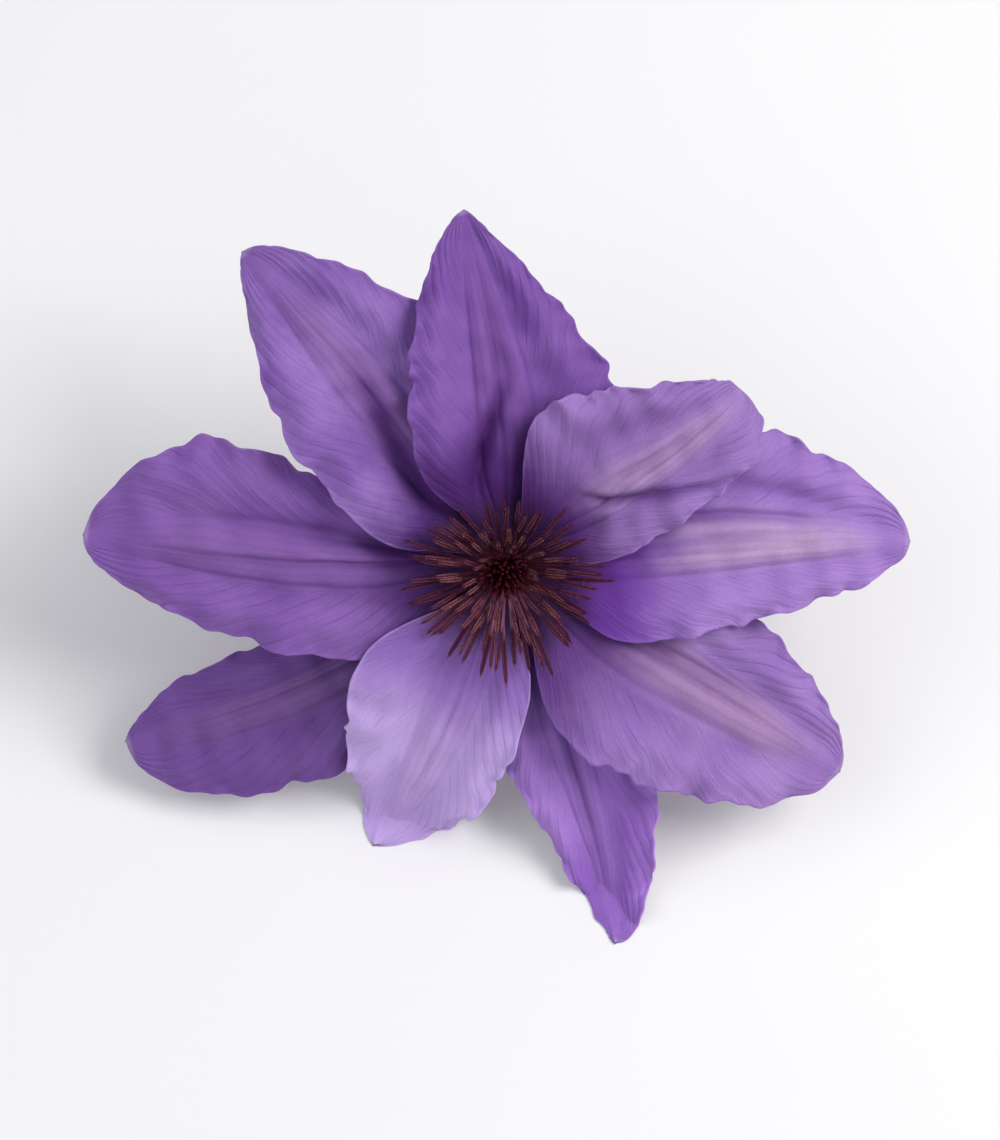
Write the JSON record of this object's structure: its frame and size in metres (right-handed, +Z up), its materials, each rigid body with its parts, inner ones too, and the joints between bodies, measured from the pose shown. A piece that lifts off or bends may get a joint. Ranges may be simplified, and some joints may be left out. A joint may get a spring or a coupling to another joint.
{
  "type": "clematis flower",
  "caption": "Wide-open clematis bloom of overlapping violet tepals with waved edges round a dark spreading boss of stamens, as picked, lying face up on its tips and its thin stalk.",
  "frame": {"origin": "on the surface that the bloom lies on, below the middle of its box", "axes": "+Z up from the surface; the face of the bloom looks up and leans towards -Y; the stalk runs out along +Y; +X is across the widest spread of the tepals"},
  "size_m": [0.1676, 0.1396, 0.0855],
  "materials": {
    "tepals": "satin",
    "stamens": "matte",
    "styles": "matte",
    "stalk": "satin"
  },
  "bodies": {
    "root": {"tepal_1": "tepals", "tepal_2": "tepals", "tepal_3": "tepals", "tepal_4": "tepals", "tepal_5": "tepals", "tepal_6": "tepals", "tepal_7": "tepals", "tepal_8": "tepals", "tepal_9": "tepals", "stamens": "stamens", "styles": "styles", "flower_stalk": "stalk"}
  },
  "joints": []
}
